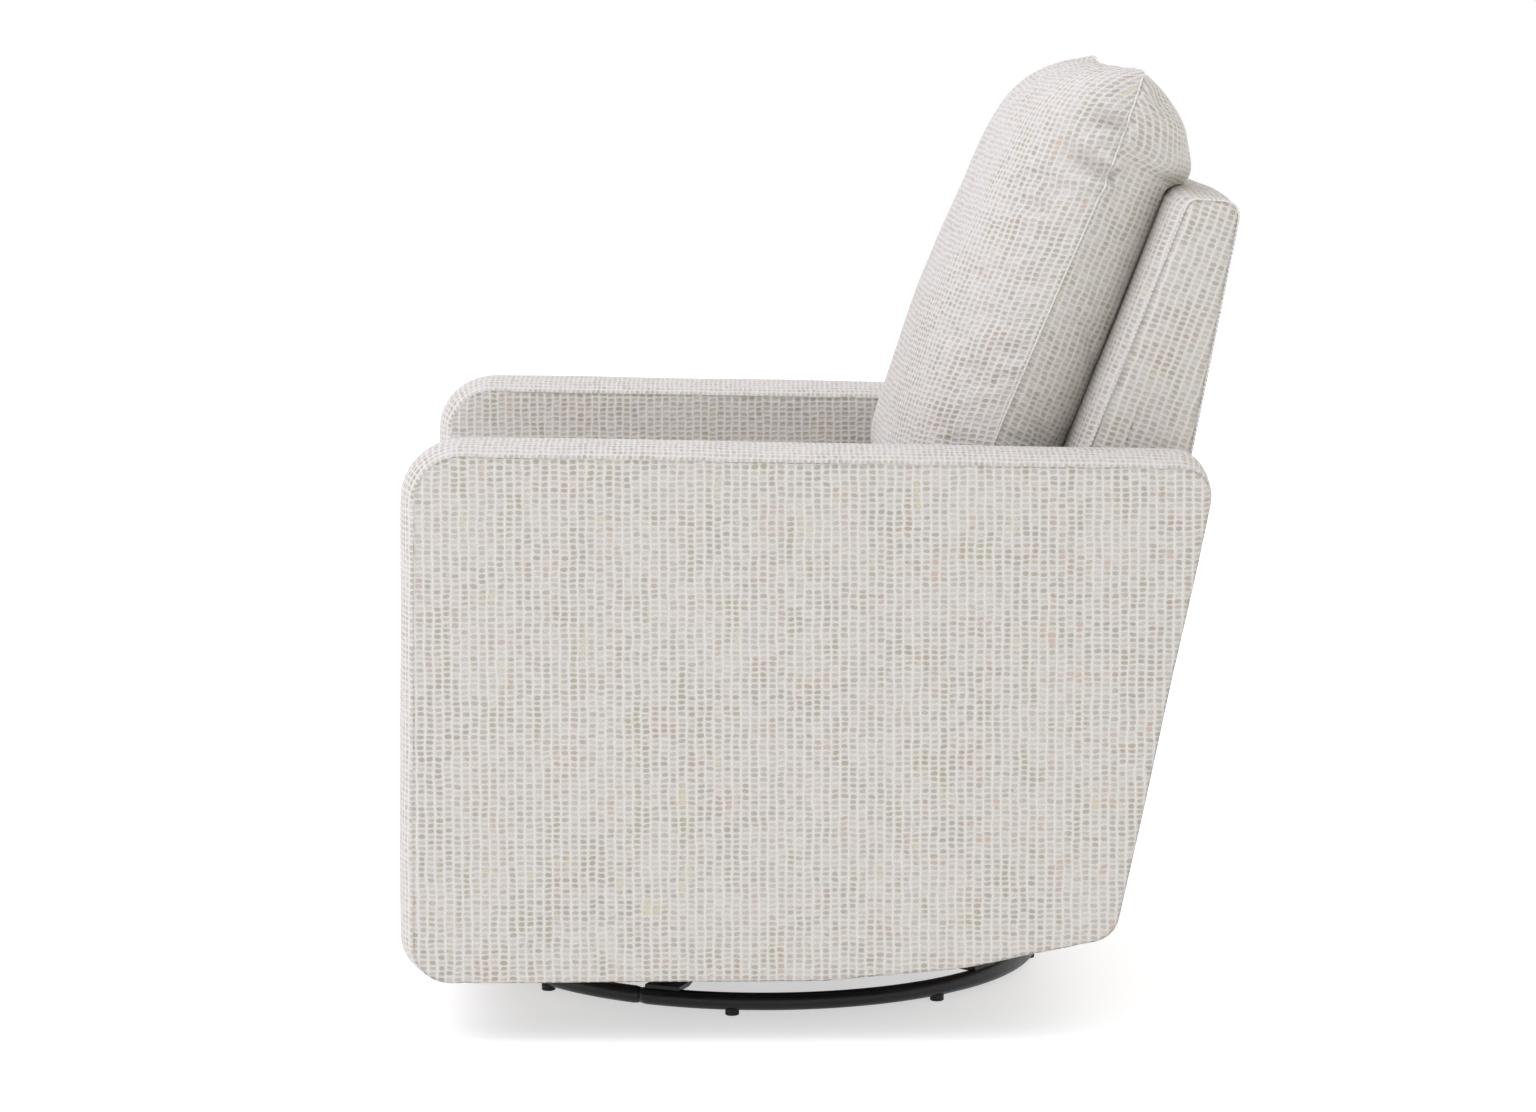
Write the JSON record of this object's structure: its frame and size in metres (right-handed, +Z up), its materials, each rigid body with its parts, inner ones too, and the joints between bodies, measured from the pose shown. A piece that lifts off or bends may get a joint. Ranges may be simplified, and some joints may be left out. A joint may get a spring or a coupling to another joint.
{
  "type": "swivel glider nursery chair",
  "caption": "Upholstered swivel glider armchair with square padded arms, a loose seat cushion, a tall leaning back pillow and a round tube base.",
  "frame": {"origin": "on the floor, at the middle of the bounding box", "axes": "+Z up, -Y the way the sitter faces, +X the sitter's left"},
  "size_m": [0.8, 0.8384, 0.967],
  "materials": {
    "woven_cloth": "matte",
    "base_steel": "satin",
    "frame_steel": "satin",
    "glide_plastic": "matte",
    "bumper_rubber": "matte",
    "nylon": "satin",
    "zinc_steel": "satin",
    "spring_steel": "satin",
    "hardwood": "matte",
    "plywood": "matte",
    "webbing": "matte"
  },
  "bodies": {
    "base": {"base_ring_front": "base_steel", "base_ring_rear": "base_steel", "ring_sleeves": "base_steel", "floor_glides": "glide_plastic", "cross_bar_lower": "base_steel", "cross_bar_upper": "base_steel", "hub_plate": "base_steel", "bearing_lower_race": "zinc_steel", "bearing_balls": "zinc_steel", "swivel_bolt": "zinc_steel", "swivel_nut": "zinc_steel"},
    "turntable": {"bearing_upper_race": "zinc_steel", "turntable_plate": "frame_steel", "cross_member_front": "frame_steel", "cross_member_rear": "frame_steel", "glider_bracket_left": "frame_steel", "glider_bracket_right": "frame_steel", "upper_pivot_pins": "zinc_steel", "glide_bumpers": "bumper_rubber"},
    "front_left_link": {"link_front_left": "zinc_steel", "bushes_front_left": "nylon"},
    "front_right_link": {"link_front_right": "zinc_steel", "bushes_front_right": "nylon"},
    "rear_left_link": {"link_rear_left": "zinc_steel", "bushes_rear_left": "nylon"},
    "rear_right_link": {"link_rear_right": "zinc_steel", "bushes_rear_right": "nylon"},
    "chair": {"moving_plate_left": "frame_steel", "moving_plate_right": "frame_steel", "lower_pivot_pins": "zinc_steel", "plate_screws": "zinc_steel", "seat_rail_left": "hardwood", "seat_rail_right": "hardwood", "seat_rail_front": "hardwood", "seat_rail_rear": "hardwood", "corner_blocks": "hardwood", "seat_springs": "spring_steel", "spring_clips": "zinc_steel", "deck_pad": "woven_cloth", "front_board": "plywood", "front_panel": "woven_cloth", "rear_board": "plywood", "rear_panel": "woven_cloth", "arm_cover_left": "woven_cloth", "arm_cover_right": "woven_cloth", "arm_panels_left": "plywood", "arm_panels_right": "plywood", "arm_blocks_left": "hardwood", "arm_blocks_right": "hardwood", "arm_bolts": "zinc_steel", "back_side_panels": "plywood", "back_top_rail": "hardwood", "back_lower_rail": "hardwood", "back_webbing": "webbing", "back_cover": "woven_cloth", "seat_cushion": "woven_cloth", "back_pillow": "woven_cloth"}
  },
  "joints": [
    {"name": "swivel", "type": "hinge", "parent": "base", "child": "turntable", "pos_m": [0, -0.052, 0.06], "axis": [0, 0, 1], "continuous": true},
    {"name": "glide", "type": "hinge", "parent": "turntable", "child": "rear_left_link", "pos_m": [0.2365, 0.108, 0.23], "axis": [1, 0, 0], "range_deg": [-25, 25]},
    {"name": "chair_level", "type": "hinge", "parent": "rear_left_link", "child": "chair", "pos_m": [0.2365, 0.108, 0.09], "axis": [1, 0, 0], "range_deg": [-25, 25]},
    {"name": "front_left_swing", "type": "hinge", "parent": "turntable", "child": "front_left_link", "pos_m": [0.2365, -0.212, 0.23], "axis": [1, 0, 0], "range_deg": [-25, 25]},
    {"name": "front_right_swing", "type": "hinge", "parent": "turntable", "child": "front_right_link", "pos_m": [-0.2365, -0.212, 0.23], "axis": [1, 0, 0], "range_deg": [-25, 25]},
    {"name": "rear_right_swing", "type": "hinge", "parent": "turntable", "child": "rear_right_link", "pos_m": [-0.2365, 0.108, 0.23], "axis": [1, 0, 0], "range_deg": [-25, 25]}
  ],
  "couplings": [
    {"joint": "chair_level", "follows": "glide", "ratio": -1},
    {"joint": "front_left_swing", "follows": "glide", "ratio": 1},
    {"joint": "front_right_swing", "follows": "glide", "ratio": 1},
    {"joint": "rear_right_swing", "follows": "glide", "ratio": 1}
  ]
}
